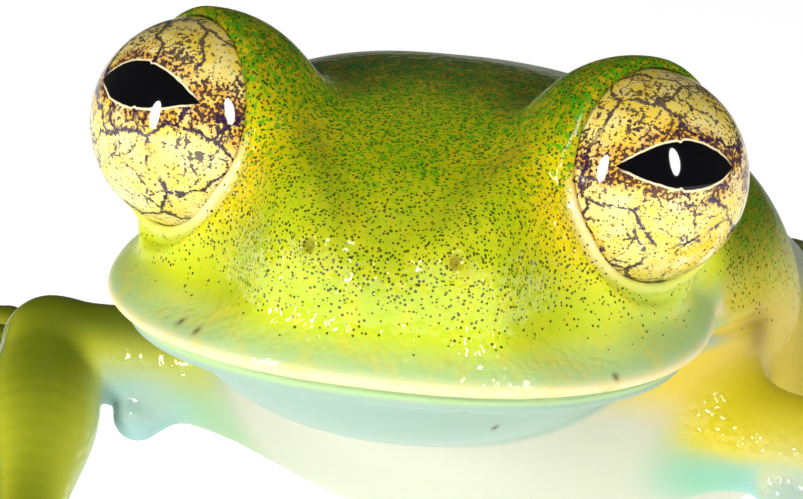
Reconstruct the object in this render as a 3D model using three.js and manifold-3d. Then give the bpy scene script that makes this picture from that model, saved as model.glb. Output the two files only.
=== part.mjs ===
// A glass frog at life size, sitting with its head up and its arms spread.
// Millimetres. It faces -Y, its left side is +X, and it rests on the plane z = 0.
// The origin is on the flat of the belly that rests on the floor.
import * as THREE from "three";
import { mergeVertices } from "three/addons/utils/BufferGeometryUtils.js";
import Module from "manifold-3d";

const wasm = await Module();
wasm.setup();

const V = (x, y, z) => new THREE.Vector3(x, y, z);

// Driving sizes
const GAP = 0.25; // left between neighbouring pieces
const EYE_RADIUS = 1.6;
const EYE_SPREAD = 3.5; // from the head's middle plane to an eye's centre
const EYE_GAP = 0.14; // between an eye and its socket
const LID_RADIUS = 1.9; // outside of the skin round an eye
const LID_TURN = THREE.MathUtils.degToRad(51); // the lids open this far out from straight ahead
const LID_RISE = THREE.MathUtils.degToRad(10);
const LID_EDGE = 0.1; // from an eye's centre out to the plane of its opening
const LOWER_LID = 0.22; // radius of the lower lid's fold
const LID_RING = EYE_RADIUS + EYE_GAP + 0.08; // from an eye's middle to the fold's
const LIP_WIDTH = 4.75; // half of the head's width at the lips
const LIP_REACH = 4.1; // from the eyes' line forward to the lips
const MOUTH_LEVEL = -2.62; // height of the mouth's line at its front, from the eyes' centres
const MOUTH_SLOPE = 0.06; // the line drops by this for each mm back
const THROAT_LEVEL = -4.9;
const HEAD_AT = V(0, -18.6, 8.8); // midpoint of the eyes' centres
const HEAD_TURN = THREE.MathUtils.degToRad(10); // to the frog's left
const HEAD_NOD = THREE.MathUtils.degToRad(5); // nose down
const NECK_Y = -3.9; // the head ends this far behind the eyes' line
const FINGER_RADIUS = 0.3;
const DISC_RADIUS = 0.52;
const SOLE = 0.27; // height of a resting digit's middle line
const WEB_THICK = 0.44;

// Trunk stations from the neck to the vent: y, top, underside, half width
const TRUNK = [
  { y: -17.6, top: 6.9, under: 3.9, half: 1.9 },
  { y: -16.2, top: 8.6, under: 2.9, half: 3.4 },
  { y: -14.4, top: 8.85, under: 1.6, half: 4.45 },
  { y: -12.2, top: 8.9, under: 1.1, half: 4.8 },
  { y: -9.4, top: 7.35, under: 0.5, half: 4.5 },
  { y: -6.4, top: 6.3, under: 0.1, half: 4.2 },
  { y: -3.6, top: 5.4, under: -0.15, half: 3.65 },
  { y: -0.8, top: 4.3, under: -0.25, half: 2.9 },
  { y: 1.4, top: 3.2, under: -0.05, half: 2.1 },
  { y: 2.9, top: 2.2, under: 0.8, half: 1.0 },
];
const TRUNK_POWER = 2.5; // of the sections' superellipse

// Solids and cuts

// A closed geometry as a manifold-3d solid.
function solid(geometry) {
  const bare = new THREE.BufferGeometry();
  const flat = geometry.index ? geometry.toNonIndexed() : geometry;
  bare.setAttribute("position", flat.getAttribute("position"));
  const merged = mergeVertices(bare, 1e-4);
  return new wasm.Manifold(
    new wasm.Mesh({
      numProp: 3,
      vertProperties: merged.attributes.position.array,
      triVerts: new Uint32Array(merged.index.array),
    }),
  );
}

// The largest closed piece of a solid.
function largest(shape) {
  return shape.decompose().reduce((best, s) => (s.volume() > best.volume() ? s : best));
}

// The part of a solid on the side of a plane that the normal points to.
function keepSide(shape, point, normal, gap = 0) {
  const n = normal.clone().normalize();
  return shape.trimByPlane([n.x, n.y, n.z], n.dot(point) + gap);
}

function geometryOf(shape) {
  const mesh = shape.getMesh();
  const geometry = new THREE.BufferGeometry();
  geometry.setAttribute("position", new THREE.BufferAttribute(mesh.vertProperties, 3));
  geometry.setIndex(new THREE.BufferAttribute(mesh.triVerts, 1));
  geometry.computeVertexNormals();
  return geometry;
}

// A closed loft through rings of points, with a point at each end. Each four-sided face
// is split along its shorter diagonal.
function loft(rings, first, last) {
  const sides = rings[0].length;
  const points = [first, ...rings.flat(), last];
  const index = [];
  const at = (ring, side) => 1 + ring * sides + (side % sides);
  for (let s = 0; s < sides; s++) {
    index.push(0, at(0, s + 1), at(0, s));
    for (let r = 0; r + 1 < rings.length; r++) {
      const [a, b, c, d] = [at(r, s), at(r, s + 1), at(r + 1, s + 1), at(r + 1, s)];
      if (points[a].distanceTo(points[c]) < points[b].distanceTo(points[d])) index.push(a, b, c, a, c, d);
      else index.push(a, b, d, b, c, d);
    }
    index.push(points.length - 1, at(rings.length - 1, s), at(rings.length - 1, s + 1));
  }
  const geometry = new THREE.BufferGeometry().setFromPoints(points);
  geometry.setIndex(index);
  const made = solid(geometry);
  if (made.volume() > 0) return made;
  for (let i = 0; i < index.length; i += 3) [index[i], index[i + 1]] = [index[i + 1], index[i]];
  geometry.setIndex(index);
  return solid(geometry);
}

// A limb along a curve through some points. radiusAt gives its radius at each share of
// the way, and flat is how much lower than wide it is. Both of its ends are round.
function limb(points, radiusAt, { sides = 12, rings = 9, flat = 1, caps = 2 } = {}) {
  const curve = new THREE.CatmullRomCurve3(points);
  const made = [];
  const ringAt = (share, shrink, push) => {
    const t = curve.getTangentAt(share);
    const side = V(t.y, -t.x, 0).normalize();
    const up = side.clone().cross(t).normalize();
    const centre = curve.getPointAt(share).addScaledVector(t, push);
    const radius = radiusAt(share) * shrink;
    return Array.from({ length: sides }, (_, s) => {
      const angle = (2 * Math.PI * (s + 0.5)) / sides;
      return centre
        .clone()
        .addScaledVector(side, radius * Math.cos(angle))
        .addScaledVector(up, radius * flat * Math.sin(angle));
    });
  };
  for (let e = 1; e <= caps; e++) {
    const a = (Math.PI / 2) * (e / (caps + 1));
    made.push(ringAt(0, Math.sin(a), -radiusAt(0) * Math.cos(a)));
  }
  for (let r = 0; r < rings; r++) made.push(ringAt(r / (rings - 1), 1, 0));
  for (let e = caps; e >= 1; e--) {
    const a = (Math.PI / 2) * (e / (caps + 1));
    made.push(ringAt(1, Math.sin(a), radiusAt(1) * Math.cos(a)));
  }
  const start = curve.getPointAt(0).addScaledVector(curve.getTangentAt(0), -radiusAt(0));
  const end = curve.getPointAt(1).addScaledVector(curve.getTangentAt(1), radiusAt(1));
  return loft(made, start, end);
}

// Radius that runs from one end size to the other and swells by bulge at the share where.
function swelling(from, to, bulge, where = 0.4, width = 0.28) {
  return (share) =>
    THREE.MathUtils.lerp(from, to, share) + bulge * Math.exp(-(((share - where) / width) ** 2));
}

function ball(centre, x, y, z, across = 12, down = 8) {
  const geometry = new THREE.SphereGeometry(1, across, down);
  geometry.rotateX(Math.PI / 2).scale(x, y, z).translate(centre.x, centre.y, centre.z);
  return solid(geometry);
}

// Fields of the head, in its own frame: x ahead, y to its left, z up from the eyes' line.
// Each is about the distance to a surface, below zero inside.

function bulk(p, centre, ahead, behind, half, rise, power = 2.4) {
  const x = p.x - centre.x;
  const reach = x > 0 ? ahead : behind;
  const y = Math.abs(p.y - centre.y);
  const z = p.z - centre.z;
  const plan = (Math.abs(x / reach) ** power + (y / half) ** power) ** (1 / power);
  const size = Math.hypot(plan, z / rise);
  const slope = Math.hypot(x / reach ** 2, y / half ** 2, z / rise ** 2);
  return slope < 1e-6 ? -rise : (size * (size - 1)) / slope;
}

function smoothMin(a, b, k) {
  const h = Math.max(k - Math.abs(a - b), 0) / k;
  return Math.min(a, b) - (h * h * k) / 4;
}

const smoothMax = (a, b, k) => -smoothMin(-a, -b, k);

function rod(p, a, b, radius) {
  const along = b.clone().sub(a);
  const share = THREE.MathUtils.clamp(p.clone().sub(a).dot(along) / along.lengthSq(), 0, 1);
  return p.distanceTo(a.clone().addScaledVector(along, share)) - radius;
}

// Everything beside the middle plane is written for the left side and read for both.
const EYE = V(0, EYE_SPREAD, 0);
const LID_AXIS = V(
  Math.cos(LID_RISE) * Math.cos(LID_TURN),
  Math.cos(LID_RISE) * Math.sin(LID_TURN),
  Math.sin(LID_RISE),
);
const NOSTRIL = V(3.45, 1.0, -0.62);
const EAR = V(-2.3, 4.2, -1.3);

function headField(point) {
  const p = V(point.x, Math.abs(point.y), point.z);
  const tilted = V(p.x, p.y, p.z + MOUTH_SLOPE * (LIP_REACH - p.x));
  const cranium = bulk(p, V(-1.2, 0, -1.05), 4.8, 5.2, 3.9, 1.66);
  const lip = bulk(tilted, V(-1.1, 0, -2.4), LIP_REACH + 1.1, 4.7, LIP_WIDTH, 0.85, 2.3);
  const cheek = bulk(p, V(-1.6, 0, -1.85), 3.9, 4.4, 4.4, 0.95, 2.3);
  const jaw = bulk(tilted, V(-1.1, 0, -2.82), LIP_REACH + 0.9, 4.5, LIP_WIDTH - 0.15, 0.5, 2.3);
  const throat = bulk(p, V(-1.5, 0, -3.1), 4.1, 4.6, 3.6, -3.1 - THROAT_LEVEL, 2.1);
  let d = smoothMin(cranium, lip, 1.1);
  d = smoothMin(d, cheek, 0.5);
  d = smoothMin(d, jaw, 0.2);
  d = smoothMin(d, throat, 0.9);
  const loreal = p.distanceTo(V(2.9, 3.3, -0.75)) - 1.05;
  d = smoothMax(d, -loreal, 0.9);
  const canthus = rod(p, V(1.2, 2.0, 0.25), V(3.2, 1.0, -0.5), 0.3);
  d = smoothMin(d, canthus, 0.6);
  const earFold = rod(p, V(-1.6, 3.9, -0.2), V(-4.6, 3.7, -1.7), 0.3);
  d = smoothMin(d, earFold, 0.6);
  const lidRoot = p.distanceTo(EYE.clone().addScaledVector(LID_AXIS, -0.45)) - LID_RADIUS + 0.5;
  return smoothMin(d, lidRoot, 1.1);
}

// From the head's frame to the frog's: ahead becomes -Y, turned and nodded.
const headFrame = new THREE.Matrix4()
  .makeTranslation(HEAD_AT.x, HEAD_AT.y, HEAD_AT.z)
  .multiply(new THREE.Matrix4().makeRotationZ(HEAD_TURN - Math.PI / 2))
  .multiply(new THREE.Matrix4().makeRotationY(HEAD_NOD));
const fromHead = (p) => p.clone().applyMatrix4(headFrame);
const headWay = (n) => n.clone().transformDirection(headFrame);

// Rays from a point level with the mouth go out in rows, closest together at the lips.
const HEAD_MIDDLE = V(-1, 0, MOUTH_LEVEL - MOUTH_SLOPE * (LIP_REACH + 1));
const RAY_ROWS = [
  -72, -54, -38, -26, -17, -10, -5, -2, 0.5, 3, 6, 10, 14, 18, 22.5, 27, 31.5, 36, 40.5, 45, 50, 56, 63, 71, 80,
];
const RAYS_ROUND = 56;

// A closed surface where a field, grown by some distance, is zero.
function cast(field, grow = 0, rows = RAY_ROWS, round = RAYS_ROUND) {
  const reach = 9;
  const hit = (x, y, z) => {
    const ray = V(x, y, z + MOUTH_SLOPE * x).normalize();
    let inside = 0;
    let outside = reach;
    for (let n = 0; n < 24; n++) {
      const half = (inside + outside) / 2;
      if (field(HEAD_MIDDLE.clone().addScaledVector(ray, half)) < grow) inside = half;
      else outside = half;
    }
    return HEAD_MIDDLE.clone().addScaledVector(ray, inside);
  };
  const rings = rows.map((degrees) => {
    const rise = THREE.MathUtils.degToRad(degrees);
    return Array.from({ length: round }, (_, i) => {
      const turn = (2 * Math.PI * i) / round;
      return hit(Math.cos(rise) * Math.cos(turn), Math.cos(rise) * Math.sin(turn), Math.sin(rise));
    }).map((p) => p.applyMatrix4(headFrame));
  });
  return loft(rings, hit(0, 0, -1).applyMatrix4(headFrame), hit(0, 0, 1).applyMatrix4(headFrame));
}

// The skin round an eye, cut off where the lids open, and the flesh the opening takes away.
function lids(side) {
  const eye = fromHead(V(0, side * EYE_SPREAD, 0));
  const axis = headWay(V(LID_AXIS.x, side * LID_AXIS.y, LID_AXIS.z));
  const edge = eye.clone().addScaledVector(axis, LID_EDGE);
  const dome = ball(eye, LID_RADIUS, LID_RADIUS, LID_RADIUS, 22, 14);
  const wide = LID_RADIUS + 0.1;
  return {
    upper: keepSide(dome, edge, axis.clone().negate()),
    opening: keepSide(ball(eye, wide, wide, wide, 16, 10), edge, axis),
    lower: lowerLid(edge, axis),
  };
}

// The lower lid, a fold along the lower half of the opening's edge.
function lowerLid(edge, axis) {
  const aside = V(axis.y, -axis.x, 0).normalize();
  const down = aside.clone().cross(axis).normalize();
  if (down.z > 0) down.negate();
  const points = [-62, -31, 0, 31, 62].map((degrees) => {
    const angle = THREE.MathUtils.degToRad(degrees);
    return edge
      .clone()
      .addScaledVector(down, LID_RING * Math.cos(angle))
      .addScaledVector(aside, LID_RING * Math.sin(angle));
  });
  return limb(points, () => LOWER_LID, { sides: 8, rings: 8, caps: 1 });
}

function nostril(side) {
  const place = fromHead(V(NOSTRIL.x, side * NOSTRIL.y, NOSTRIL.z));
  const way = headWay(V(0.75, side * 0.5, 0.3));
  const rim = ball(place, 0.28, 0.28, 0.24, 10, 6);
  const pit = ball(place.clone().addScaledVector(way, 0.27), 0.13, 0.13, 0.13, 8, 6);
  return { rim, pit };
}

// The round ear drum, a low disc behind and below the eye.
function earDrum(side) {
  return ball(fromHead(V(EAR.x, side * EAR.y, EAR.z)), 0.5, 0.5, 0.5, 12, 8);
}

function headSolids() {
  const whole = cast(headField);
  let skull = keepSide(whole, fromHead(V(NECK_Y, 0, 0)), headWay(V(1, 0, 0)));
  for (const side of [-1, 1]) {
    const room = EYE_RADIUS + EYE_GAP;
    const { rim, pit } = nostril(side);
    const { upper, lower, opening } = lids(side);
    skull = skull.subtract(opening).add(upper).add(lower).add(rim).subtract(pit).add(earDrum(side));
    skull = skull.subtract(ball(fromHead(V(0, side * EYE_SPREAD, 0)), room, room, room, 24, 16));
  }
  const mouth = V(LIP_REACH, 0, MOUTH_LEVEL);
  const up = V(-MOUTH_SLOPE, 0, 1).normalize();
  const upper = keepSide(skull, fromHead(mouth), headWay(up), 0);
  const lower = keepSide(skull, fromHead(mouth), headWay(up.clone().negate()), GAP);
  return { head: largest(upper), lower_jaw: largest(lower) };
}

// The trunk, as rings of superellipses through its stations, grown by some distance.
function trunk(grow, sides = 26, rings = 20) {
  const smooth = (key) => new THREE.CatmullRomCurve3(TRUNK.map((s) => V(s.y, s[key], 0)));
  const curves = { top: smooth("top"), under: smooth("under"), half: smooth("half") };
  const stationAt = (share) => {
    const y = curves.top.getPoint(share).x;
    const top = curves.top.getPoint(share).y + grow;
    const under = curves.under.getPoint(share).y - grow;
    return { y, middle: (top + under) / 2, rise: (top - under) / 2, half: curves.half.getPoint(share).y + grow };
  };
  const made = [];
  for (let r = 0; r < rings; r++) {
    const s = stationAt(r / (rings - 1));
    made.push(
      Array.from({ length: sides }, (_, i) => {
        const angle = (2 * Math.PI * i) / sides;
        const round = (w) => Math.sign(w) * Math.abs(w) ** (2 / TRUNK_POWER);
        return V(s.half * round(Math.cos(angle)), s.y, s.middle + s.rise * round(Math.sin(angle)));
      }),
    );
  }
  const front = stationAt(0);
  const back = stationAt(1);
  return loft(made, V(0, front.y - 0.4 - grow, front.middle), V(0, back.y + 0.35 + grow, back.middle));
}

// One arm or leg is given for the left side, and side -1 mirrors it.
const JOINTS = {
  left: {
    shoulder: V(2.7, -14.4, 4.1), elbow: V(7.8, -14.6, 3.8), wrist: V(8.2, -17.2, 0.85), thick: [0.9, 0.74],
    palm: V(7.9, -19.0, 0.45), heading: 0, toes: 52, hip: V(1.7, 0.9, 2.2), knee: V(7.2, -8.3, 2.7),
    heel: V(4.9, 4.1, 1.15), ankle: V(8.3, -1.9, 0.7), foot: V(9.3, -3.7, 0.45),
  },
  right: {
    shoulder: V(-2.9, -13.4, 3.3), elbow: V(-7.3, -14.3, 3.5), wrist: V(-6.4, -17.4, 0.85), thick: [1.0, 0.76],
    palm: V(-6.0, -19.2, 0.45), heading: 8, toes: 70, hip: V(-1.7, 0.9, 2.2), knee: V(-7.2, -8.3, 2.7),
    heel: V(-4.9, 4.1, 1.15), ankle: V(-8.3, -1.9, 0.7), foot: V(-9.3, -3.7, 0.45),
  },
};

// Two neighbouring limb pieces part at a plane through their joint that halves its angle.
function partAt(shape, joint, own, other) {
  const mine = own.clone().sub(joint).normalize();
  const theirs = other.clone().sub(joint).normalize();
  return keepSide(shape, joint, mine.sub(theirs), GAP / 2);
}

function onFloor(shape) {
  return keepSide(shape, V(0, 0, 0), V(0, 0, 1));
}

// A digit from its root to its disc, bent up a little at the knuckle, resting on the floor.
function digit(root, way, length, radius, disc) {
  const tip = root.clone().addScaledVector(way, length).setZ(SOLE);
  const knuckle = root.clone().addScaledVector(way, length * 0.5).setZ(SOLE + 0.24);
  const bone = limb([root, knuckle, tip], swelling(radius * 1.15, radius * 0.85, 0.04, 0.5, 0.2), {
    sides: 8, rings: 5, caps: 1,
  });
  const pad = ball(tip, disc, disc, SOLE * 1.25, 12, 5);
  return bone.add(pad);
}

// A thin web between two digits, from their roots out to a share of the shorter one.
function web(root, wayA, wayB, reach) {
  const a = root.clone().addScaledVector(wayA, reach);
  const b = root.clone().addScaledVector(wayB, reach);
  const sag = a.clone().add(b).multiplyScalar(0.5).lerp(root, 0.22);
  const shape = new THREE.Shape([root, a, sag, b].map((p) => new THREE.Vector2(p.x, p.y)));
  const sheet = new THREE.ExtrudeGeometry(shape, { depth: WEB_THICK, bevelEnabled: false });
  return solid(sheet.translate(0, 0, 0.02));
}

// A hand or foot: a flat palm with digits fanned about the way it points.
function paw(palm, heading, side, plan) {
  let made = ball(palm, plan.palm, plan.palm, plan.thick, 14, 8);
  const ways = plan.digits.map(({ turn }) => {
    const angle = heading + side * THREE.MathUtils.degToRad(turn);
    return V(Math.sin(angle), -Math.cos(angle), 0);
  });
  plan.digits.forEach(({ length }, i) => {
    const root = palm.clone().addScaledVector(ways[i], plan.palm * 0.55);
    made = made.add(digit(root, ways[i], length - plan.palm * 0.55, FINGER_RADIUS, DISC_RADIUS));
  });
  plan.webs.forEach((reach, i) => {
    if (reach > 0) made = made.add(web(palm, ways[i], ways[i + 1], reach));
  });
  return made;
}

// Turns run from the inner digit to the outer one, away from the body's middle plane.
const HAND = {
  palm: 0.95, thick: 0.45,
  digits: [{ turn: -62, length: 2.6 }, { turn: -24, length: 2.9 }, { turn: 12, length: 4.3 }, { turn: 50, length: 3.7 }],
  webs: [0, 0, 2.1],
};
const FOOT = {
  palm: 0.8, thick: 0.4,
  digits: [
    { turn: -50, length: 2.7 }, { turn: -28, length: 3.7 }, { turn: -5, length: 5.2 },
    { turn: 17, length: 6.9 }, { turn: 42, length: 5.6 },
  ],
  webs: [1.9, 2.5, 3.4, 3.8],
};

function arm(side, j, body) {
  const spineRoot = j.shoulder.clone().lerp(j.elbow, 0.5).add(V(0, -0.2, -0.35));
  const spineTip = spineRoot.clone().add(V(side * 0.5, -0.45, -0.45));
  let upper = limb([j.shoulder, j.elbow], swelling(...j.thick, 0.05, 0.3));
  upper = upper.add(limb([spineRoot, spineTip], () => 0.42, { sides: 8, rings: 3 }));
  upper = partAt(upper, j.elbow, j.shoulder, j.wrist).subtract(body);
  let fore = limb([j.elbow, j.wrist], swelling(j.thick[1] + 0.03, 0.5, 0.25, 0.36));
  fore = partAt(fore, j.elbow, j.wrist, j.shoulder);
  fore = partAt(fore, j.wrist, j.elbow, j.palm);
  const heading = side * THREE.MathUtils.degToRad(j.heading);
  let hand = paw(j.palm, heading, side, HAND);
  hand = hand.add(limb([j.wrist, j.palm], () => 0.5, { sides: 10, rings: 4, flat: 0.9 }));
  hand = partAt(hand, j.wrist, j.palm, j.elbow);
  return { upper_arm: upper, forearm: fore, hand: onFloor(hand) };
}

function leg(side, j, body) {
  let thigh = limb([j.hip, j.knee], swelling(1.5, 0.85, 0.2, 0.4));
  thigh = partAt(thigh, j.knee, j.hip, j.heel).subtract(body);
  let shank = limb([j.knee, j.heel], swelling(0.85, 0.62, 0.38, 0.35));
  shank = partAt(shank, j.knee, j.heel, j.hip);
  shank = partAt(shank, j.heel, j.knee, j.ankle);
  let tarsus = limb([j.heel, j.ankle], swelling(0.62, 0.5, 0.08, 0.3), { sides: 10 });
  tarsus = partAt(tarsus, j.heel, j.ankle, j.knee);
  tarsus = partAt(tarsus, j.ankle, j.heel, j.foot);
  const heading = side * THREE.MathUtils.degToRad(j.toes);
  let foot = paw(j.foot, heading, side, FOOT);
  foot = foot.add(limb([j.ankle, j.foot], () => 0.48, { sides: 10, rings: 4, flat: 0.85 }));
  foot = partAt(foot, j.ankle, j.foot, j.heel);
  return { thigh, shank, tarsus, foot: onFloor(foot) };
}

const SKIN = new THREE.MeshStandardMaterial({ color: 0x8fbf1e, roughness: 0.35, metalness: 0 });
const BELLY = new THREE.MeshStandardMaterial({ color: 0xd9e3c8, roughness: 0.35, metalness: 0 });
const IRIS = new THREE.MeshStandardMaterial({ color: 0xe6cf63, roughness: 0.1, metalness: 0 });

const frog = new THREE.Group();

function place(name, shape, material) {
  const mesh = new THREE.Mesh(geometryOf(largest(shape)), material);
  mesh.name = name;
  frog.add(mesh);
}

const { head, lower_jaw } = headSolids();
place("head", head, SKIN);
place("lower_jaw", lower_jaw, BELLY);
for (const [name, side] of [["left", 1], ["right", -1]]) {
  const eye = fromHead(V(0, side * EYE_SPREAD, 0));
  place(`eye_${name}`, ball(eye, EYE_RADIUS, EYE_RADIUS, EYE_RADIUS, 22, 14), IRIS);
}

// The trunk narrows to the neck and ends behind the head, and its chest reaches forward
// under the throat.
const CHEST_TOP = 5.0;
const NECK_HALF = 3.2;
const neck = fromHead(V(NECK_Y, 0, 0));
const forward = headWay(V(1, 0, 0));
const throat = cast(headField, GAP, RAY_ROWS.filter((_, i) => i % 2 === 0), 40);
const chest = keepSide(trunk(0), V(0, 0, CHEST_TOP), V(0, 0, -1)).subtract(throat);
let back = keepSide(trunk(0), neck, forward.clone().negate(), GAP);
for (const side of [-1, 1]) {
  back = keepSide(back, fromHead(V(NECK_Y, side * NECK_HALF, 0)), headWay(V(-1, -0.7 * side, 0)));
}
place("torso", onFloor(back.add(chest)), SKIN);

const body = trunk(GAP);
for (const [name, side] of [["left", 1], ["right", -1]]) {
  const pieces = { ...arm(side, JOINTS[name], body), ...leg(side, JOINTS[name], body) };
  for (const [part, shape] of Object.entries(pieces)) place(`${part}_${name}`, shape, SKIN);
}

export default frog;
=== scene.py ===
import math

import bpy
import numpy as np
from mathutils import Matrix, Vector


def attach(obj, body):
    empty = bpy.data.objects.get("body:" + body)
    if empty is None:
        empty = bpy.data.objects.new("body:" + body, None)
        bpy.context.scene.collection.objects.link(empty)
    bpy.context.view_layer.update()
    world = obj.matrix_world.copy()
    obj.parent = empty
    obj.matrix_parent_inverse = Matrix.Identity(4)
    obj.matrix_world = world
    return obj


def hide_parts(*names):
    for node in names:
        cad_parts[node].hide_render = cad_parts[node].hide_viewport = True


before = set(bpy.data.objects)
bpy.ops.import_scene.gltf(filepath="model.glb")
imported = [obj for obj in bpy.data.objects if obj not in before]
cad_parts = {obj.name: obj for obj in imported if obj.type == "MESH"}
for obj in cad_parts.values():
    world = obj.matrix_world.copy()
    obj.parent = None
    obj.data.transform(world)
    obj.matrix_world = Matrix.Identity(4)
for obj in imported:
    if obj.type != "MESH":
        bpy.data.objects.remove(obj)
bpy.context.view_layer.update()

MM = 0.001

# Sizes in millimetres. The frog faces -Y and its left side is +X.
EYE_RADIUS = 1.66
EYE_SPREAD = 3.5
LID_RADIUS = 1.8
LID_TURN = math.radians(51)
LID_RISE = math.radians(10)
LID_EDGE = 0.1
LIP_WIDTH = 4.75
LIP_REACH = 4.1
MOUTH_LEVEL = -2.62
MOUTH_SLOPE = 0.06
THROAT_LEVEL = -4.9
HEAD_AT = np.array([0.0, -18.6, 8.8])
HEAD_TURN = math.radians(10)
HEAD_NOD = math.radians(5)
FINGER_RADIUS = 0.3
DISC_RADIUS = 0.52
SOLE = 0.27

TRUNK = np.array([
    # y, top, underside, half width
    [-18.05, 5.6, 5.2, 0.05],
    [-17.6, 6.9, 3.9, 1.9],
    [-16.2, 8.6, 2.9, 3.4],
    [-14.4, 8.85, 1.6, 4.45],
    [-12.2, 8.9, 1.1, 4.8],
    [-9.4, 7.35, 0.5, 4.5],
    [-6.4, 6.3, 0.1, 4.2],
    [-3.6, 5.4, -0.15, 3.65],
    [-0.8, 4.3, -0.25, 2.9],
    [1.4, 3.2, -0.05, 2.1],
    [2.9, 2.2, 0.8, 1.0],
    [3.25, 1.7, 1.3, 0.05],
])
TRUNK_POWER = 2.5


# Small tools

def turn_z(angle):
    c, s = math.cos(angle), math.sin(angle)
    return np.array([[c, -s, 0], [s, c, 0], [0, 0, 1]])


def turn_y(angle):
    c, s = math.cos(angle), math.sin(angle)
    return np.array([[c, 0, s], [0, 1, 0], [-s, 0, c]])


# Columns: the head's ahead, left and up
HEAD = turn_z(HEAD_TURN - math.pi / 2) @ turn_y(HEAD_NOD)


def smooth_min(a, b, k):
    h = np.maximum(k - np.abs(a - b), 0) / k
    return np.minimum(a, b) - h * h * k / 4


def smooth_max(a, b, k):
    return -smooth_min(-a, -b, k)


def ramp(value, low, high):
    t = np.clip((value - low) / (high - low), 0, 1)
    return t * t * (3 - 2 * t)


def near(value, width):
    return np.exp(-((value / width) ** 2))


def mix(a, b, share):
    share = np.clip(share, 0, 1)[:, None]
    return a * (1 - share) + b * share


# Fields: about the distance in mm to a surface, below zero inside

def bulk(x, y, z, centre, ahead, behind, half, rise, power):
    """An oval lump, squarer in plan where the power is higher."""
    x = x - centre[0]
    y = np.abs(y - centre[1])
    z = z - centre[2]
    reach = np.where(x > 0, ahead, behind)
    plan = (np.abs(x / reach) ** power + (y / half) ** power) ** (1 / power)
    size = np.sqrt(plan**2 + (z / rise) ** 2)
    slope = np.sqrt((x / reach**2) ** 2 + (y / half**2) ** 2 + (z / rise**2) ** 2)
    return size * (size - 1) / np.maximum(slope, 1e-4)


def ball(x, y, z, centre, radius):
    return np.sqrt((x - centre[0]) ** 2 + (y - centre[1]) ** 2 + (z - centre[2]) ** 2) - radius


def pad(x, y, z, centre, radii):
    """An ellipsoid."""
    x, y, z = x - centre[0], y - centre[1], z - centre[2]
    size = np.sqrt((x / radii[0]) ** 2 + (y / radii[1]) ** 2 + (z / radii[2]) ** 2)
    slope = np.sqrt((x / radii[0] ** 2) ** 2 + (y / radii[1] ** 2) ** 2 + (z / radii[2] ** 2) ** 2)
    return size * (size - 1) / np.maximum(slope, 1e-4)


def rod(x, y, z, a, b, ra, rb):
    """A round-ended rod from a to b, with a radius at each end."""
    along = np.subtract(b, a)
    share = ((x - a[0]) * along[0] + (y - a[1]) * along[1] + (z - a[2]) * along[2]) / along.dot(along)
    share = np.clip(share, 0, 1)
    away = np.sqrt(
        (x - a[0] - share * along[0]) ** 2
        + (y - a[1] - share * along[1]) ** 2
        + (z - a[2] - share * along[2]) ** 2
    )
    return away - ra - share * (rb - ra)


EYE = np.array([0.0, EYE_SPREAD, 0.0])
LID_AXIS = np.array([
    math.cos(LID_RISE) * math.cos(LID_TURN),
    math.cos(LID_RISE) * math.sin(LID_TURN),
    math.sin(LID_RISE),
])
NOSTRIL = np.array([3.45, 1.0, -0.62])
NOSTRIL_WAY = np.array([0.75, 0.5, 0.3])
EAR = np.array([-2.3, 4.2, -1.3])


def head_coordinates(x, y, z):
    x, y, z = x - HEAD_AT[0], y - HEAD_AT[1], z - HEAD_AT[2]
    return [HEAD[0, i] * x + HEAD[1, i] * y + HEAD[2, i] * z for i in range(3)]


def above_mouth(f, u):
    return u + MOUTH_SLOPE * (LIP_REACH - f) - MOUTH_LEVEL


def lids(d, f, l, u):
    """The dome over an eye, the opening in front of it and the broad fold of the lower lid."""
    dome = ball(f, l, u, EYE, LID_RADIUS)
    inner = ball(f, l, u, EYE - np.array([0.1, 0.3, 0.05]), LID_RADIUS - 0.05)
    dome = smooth_min(dome, inner, 0.3)
    out = (f - EYE[0]) * LID_AXIS[0] + (l - EYE[1]) * LID_AXIS[1] + (u - EYE[2]) * LID_AXIS[2]
    opening = smooth_max(ball(f, l, u, EYE, LID_RADIUS + 0.15), LID_EDGE - out, 0.2)
    d = smooth_max(d, -opening, 0.25)
    dome = smooth_max(dome, out - LID_EDGE, 0.12)
    d = smooth_min(d, dome, 0.3)
    ring = np.sqrt(np.maximum((f - EYE[0]) ** 2 + (l - EYE[1]) ** 2 + (u - EYE[2]) ** 2 - out**2, 0))
    low = ramp(-u, -0.6, 0.8)
    past = np.maximum(np.abs(out - 0.12) - 0.16 * low, 0)
    fold = np.sqrt((ring - EYE_RADIUS - 0.04) ** 2 + past**2) - 0.13 * low
    d = smooth_min(d, fold, 0.15)
    return smooth_max(d, -ball(f, l, u, EYE, EYE_RADIUS + 0.012), 0.04)


# Lumps of the head: centre, reach ahead and behind, half width, half height, squareness
SKULL = ((-1.2, 0, -1.05), 4.8, 5.2, 3.9, 1.66, 2.4)
UPPER_LIP = ((-1.1, 0, -2.4), LIP_REACH + 1.1, 4.7, LIP_WIDTH, 0.85, 2.3)
CHEEKS = ((-1.6, 0, -1.85), 3.9, 4.4, 4.4, 0.95, 2.3)
JAW_EDGE = ((-1.1, 0, -2.84), LIP_REACH + 0.72, 4.5, LIP_WIDTH - 0.32, 0.3, 2.3)
THROAT_BAG = ((-1.5, 0, -3.1), 4.1, 4.6, 3.7, -3.1 - THROAT_LEVEL, 2.1)


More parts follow.
